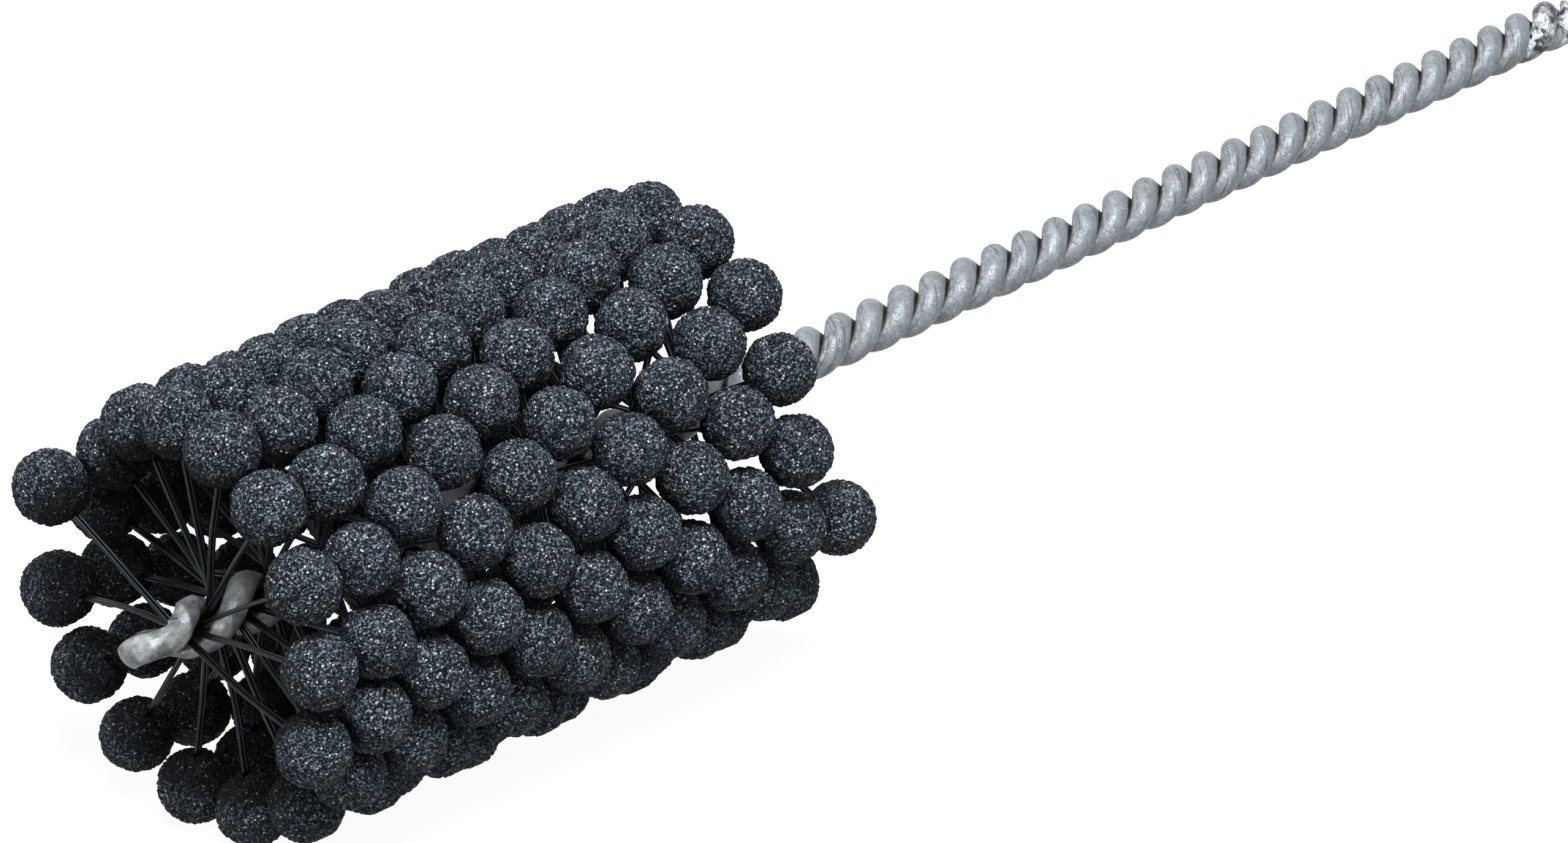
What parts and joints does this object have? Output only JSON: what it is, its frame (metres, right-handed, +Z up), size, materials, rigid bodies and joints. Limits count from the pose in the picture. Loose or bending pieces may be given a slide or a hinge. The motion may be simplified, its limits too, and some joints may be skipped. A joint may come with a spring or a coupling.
{
  "type": "flexible ball hone",
  "caption": "Flexible ball hone: abrasive balls on nylon filaments held in a twisted wire stem, for deburring and finishing a bore with a hand drill.",
  "frame": {"origin": "centre of the shank's cut end, on the stem's centre line", "axes": "+X along the stem from the folded tip through the brush and out of the shank's cut end, +Z up as the hone lies on a table, +Y to complete the right-handed frame"},
  "size_m": [0.203, 0.047, 0.047],
  "materials": {
    "galvanised_wire": "dull zinc coating with drawing marks along the wire",
    "abrasive_grain": "rough blue-black grit in a hard binder, with sparkling grains",
    "nylon_filament": "glossy black round filament"
  },
  "bodies": {
    "stem": {"stem_wire": "galvanised_wire", "tufts_01": "nylon_filament", "tufts_02": "nylon_filament", "tufts_03": "nylon_filament", "tufts_04": "nylon_filament", "tufts_05": "nylon_filament", "tufts_06": "nylon_filament", "tufts_07": "nylon_filament", "tufts_08": "nylon_filament", "tufts_09": "nylon_filament", "tufts_10": "nylon_filament", "tufts_11": "nylon_filament", "tufts_12": "nylon_filament", "tufts_13": "nylon_filament", "tufts_14": "nylon_filament", "tufts_15": "nylon_filament"},
    "ball_sector_01": {"balls_01": "abrasive_grain"},
    "ball_sector_02": {"balls_02": "abrasive_grain"},
    "ball_sector_03": {"balls_03": "abrasive_grain"},
    "ball_sector_04": {"balls_04": "abrasive_grain"},
    "ball_sector_05": {"balls_05": "abrasive_grain"},
    "ball_sector_06": {"balls_06": "abrasive_grain"},
    "ball_sector_07": {"balls_07": "abrasive_grain"},
    "ball_sector_08": {"balls_08": "abrasive_grain"},
    "ball_sector_09": {"balls_09": "abrasive_grain"},
    "ball_sector_10": {"balls_10": "abrasive_grain"},
    "ball_sector_11": {"balls_11": "abrasive_grain"},
    "ball_sector_12": {"balls_12": "abrasive_grain"},
    "ball_sector_13": {"balls_13": "abrasive_grain"},
    "ball_sector_14": {"balls_14": "abrasive_grain"},
    "ball_sector_15": {"balls_15": "abrasive_grain"}
  },
  "joints": [
    {"name": "ball_lean_01", "type": "hinge", "parent": "stem", "child": "ball_sector_01", "pos_m": [-0.16236, 0.00385, 0.00082], "axis": [1, 0, 0], "range_deg": [-45, 45], "stiffness_Nm_per_rad": 0.0175, "deforming": ["tufts_01", "tufts_02"]},
    {"name": "ball_lean_02", "type": "hinge", "parent": "stem", "child": "ball_sector_02", "pos_m": [-0.16236, 0.00318, 0.00231], "axis": [1, 0, 0], "range_deg": [-45, 45], "stiffness_Nm_per_rad": 0.0175, "deforming": ["tufts_03", "tufts_04"]},
    {"name": "ball_lean_03", "type": "hinge", "parent": "stem", "child": "ball_sector_03", "pos_m": [-0.16236, 0.00197, 0.00341], "axis": [1, 0, 0], "range_deg": [-45, 45], "stiffness_Nm_per_rad": 0.0175, "deforming": ["tufts_05", "tufts_06"]},
    {"name": "ball_lean_04", "type": "hinge", "parent": "stem", "child": "ball_sector_04", "pos_m": [-0.16236, 0.00041, 0.00391], "axis": [1, 0, 0], "range_deg": [-45, 45], "stiffness_Nm_per_rad": 0.0175, "deforming": ["tufts_07", "tufts_08"]},
    {"name": "ball_lean_05", "type": "hinge", "parent": "stem", "child": "ball_sector_05", "pos_m": [-0.16236, -0.00122, 0.00374], "axis": [1, 0, 0], "range_deg": [-45, 45], "stiffness_Nm_per_rad": 0.0175, "deforming": ["tufts_09", "tufts_10"]},
    {"name": "ball_lean_06", "type": "hinge", "parent": "stem", "child": "ball_sector_06", "pos_m": [-0.16236, -0.00263, 0.00293], "axis": [1, 0, 0], "range_deg": [-45, 45], "stiffness_Nm_per_rad": 0.0175, "deforming": ["tufts_11", "tufts_12"]},
    {"name": "ball_lean_07", "type": "hinge", "parent": "stem", "child": "ball_sector_07", "pos_m": [-0.16236, -0.0036, 0.0016], "axis": [1, 0, 0], "range_deg": [-45, 45], "stiffness_Nm_per_rad": 0.0175, "deforming": ["tufts_13", "tufts_14"]},
    {"name": "ball_lean_08", "type": "hinge", "parent": "stem", "child": "ball_sector_08", "pos_m": [-0.16236, -0.00394, 0], "axis": [1, 0, 0], "range_deg": [-45, 45], "stiffness_Nm_per_rad": 0.0175, "deforming": ["tufts_15"]},
    {"name": "ball_lean_09", "type": "hinge", "parent": "stem", "child": "ball_sector_09", "pos_m": [-0.16236, -0.0036, -0.0016], "axis": [1, 0, 0], "range_deg": [-45, 45], "stiffness_Nm_per_rad": 0.0175},
    {"name": "ball_lean_10", "type": "hinge", "parent": "stem", "child": "ball_sector_10", "pos_m": [-0.16236, -0.00263, -0.00293], "axis": [1, 0, 0], "range_deg": [-45, 45], "stiffness_Nm_per_rad": 0.0175},
    {"name": "ball_lean_11", "type": "hinge", "parent": "stem", "child": "ball_sector_11", "pos_m": [-0.16236, -0.00122, -0.00374], "axis": [1, 0, 0], "range_deg": [-45, 45], "stiffness_Nm_per_rad": 0.0175},
    {"name": "ball_lean_12", "type": "hinge", "parent": "stem", "child": "ball_sector_12", "pos_m": [-0.16236, 0.00041, -0.00391], "axis": [1, 0, 0], "range_deg": [-45, 45], "stiffness_Nm_per_rad": 0.0175},
    {"name": "ball_lean_13", "type": "hinge", "parent": "stem", "child": "ball_sector_13", "pos_m": [-0.16236, 0.00197, -0.00341], "axis": [1, 0, 0], "range_deg": [-45, 45], "stiffness_Nm_per_rad": 0.0175},
    {"name": "ball_lean_14", "type": "hinge", "parent": "stem", "child": "ball_sector_14", "pos_m": [-0.16236, 0.00318, -0.00231], "axis": [1, 0, 0], "range_deg": [-45, 45], "stiffness_Nm_per_rad": 0.0175},
    {"name": "ball_lean_15", "type": "hinge", "parent": "stem", "child": "ball_sector_15", "pos_m": [-0.16236, 0.00385, -0.00082], "axis": [1, 0, 0], "range_deg": [-45, 45], "stiffness_Nm_per_rad": 0.0175}
  ],
  "couplings": [
    {"joint": "ball_lean_02", "follows": "ball_lean_01", "ratio": 1},
    {"joint": "ball_lean_03", "follows": "ball_lean_01", "ratio": 1},
    {"joint": "ball_lean_04", "follows": "ball_lean_01", "ratio": 1},
    {"joint": "ball_lean_05", "follows": "ball_lean_01", "ratio": 1},
    {"joint": "ball_lean_06", "follows": "ball_lean_01", "ratio": 1},
    {"joint": "ball_lean_07", "follows": "ball_lean_01", "ratio": 1},
    {"joint": "ball_lean_08", "follows": "ball_lean_01", "ratio": 1},
    {"joint": "ball_lean_09", "follows": "ball_lean_01", "ratio": 1},
    {"joint": "ball_lean_10", "follows": "ball_lean_01", "ratio": 1},
    {"joint": "ball_lean_11", "follows": "ball_lean_01", "ratio": 1},
    {"joint": "ball_lean_12", "follows": "ball_lean_01", "ratio": 1},
    {"joint": "ball_lean_13", "follows": "ball_lean_01", "ratio": 1},
    {"joint": "ball_lean_14", "follows": "ball_lean_01", "ratio": 1},
    {"joint": "ball_lean_15", "follows": "ball_lean_01", "ratio": 1}
  ]
}
